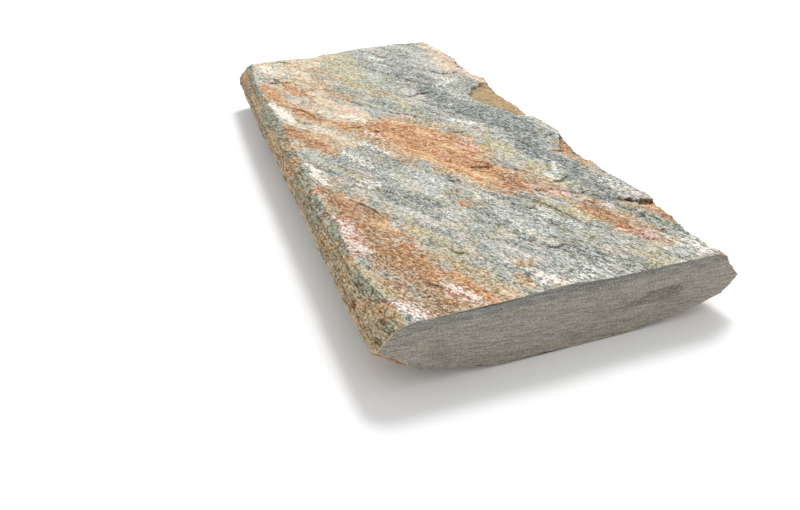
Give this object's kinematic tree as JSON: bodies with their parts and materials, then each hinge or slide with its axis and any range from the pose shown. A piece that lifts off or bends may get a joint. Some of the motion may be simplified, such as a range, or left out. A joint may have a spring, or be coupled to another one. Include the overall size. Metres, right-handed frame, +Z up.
{
  "type": "slate slab",
  "caption": "Long split slate slab with a riven, rust-streaked top, broken side edges and two sawn ends, lying flat on its cleaved bed.",
  "frame": {"origin": "middle of the slab's footprint, on the bed face that it lies on", "axes": "+Y along the slab from the sawn end seen in the picture to the far sawn end, +X across it, +Z up out of the riven top"},
  "size_m": [0.214, 0.46, 0.0418],
  "materials": {
    "slate": "riven, matt with mica glints; sawn ends fine matt"
  },
  "bodies": {
    "root": {"slate_slab": "slate"}
  },
  "joints": []
}
